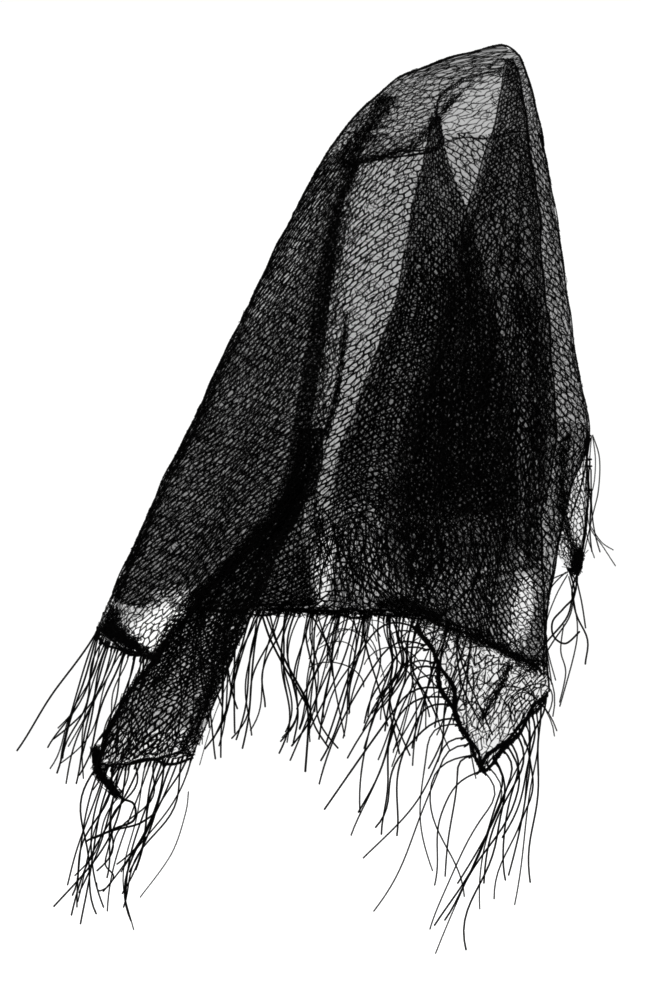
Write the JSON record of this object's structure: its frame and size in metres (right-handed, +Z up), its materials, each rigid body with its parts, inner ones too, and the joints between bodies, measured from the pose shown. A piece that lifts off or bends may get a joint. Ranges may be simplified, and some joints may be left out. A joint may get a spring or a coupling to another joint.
{
  "type": "shawl",
  "caption": "Open net shawl with a long knotted fringe, in the hollow hooded shape that it takes when it hangs from the head.",
  "frame": {"origin": "under the top of the crown, where the head of the person who wears it carries the shawl", "axes": "+Z up, -Y to the open face side, +X to the side of the short tail (the right of the picture)"},
  "size_m": [0.5825, 0.2973, 0.885],
  "materials": {
    "yarn": "matte black knitted lace",
    "fringe_yarn": "matte black twisted yarn"
  },
  "bodies": {
    "root": {"crown": "yarn", "back_panel": "yarn", "back_pleat": "yarn", "side_right": "yarn", "front_left": "yarn", "inner_fold": "yarn", "front_right": "yarn", "tail_left": "yarn", "tail_right": "yarn", "fringe_back": "fringe_yarn", "fringe_front_left": "fringe_yarn", "fringe_inner": "fringe_yarn", "fringe_corner_left": "fringe_yarn", "fringe_corner_right": "fringe_yarn", "fringe_tail_left": "fringe_yarn", "fringe_tail_right": "fringe_yarn", "fringe_right_edge": "fringe_yarn"}
  },
  "joints": []
}
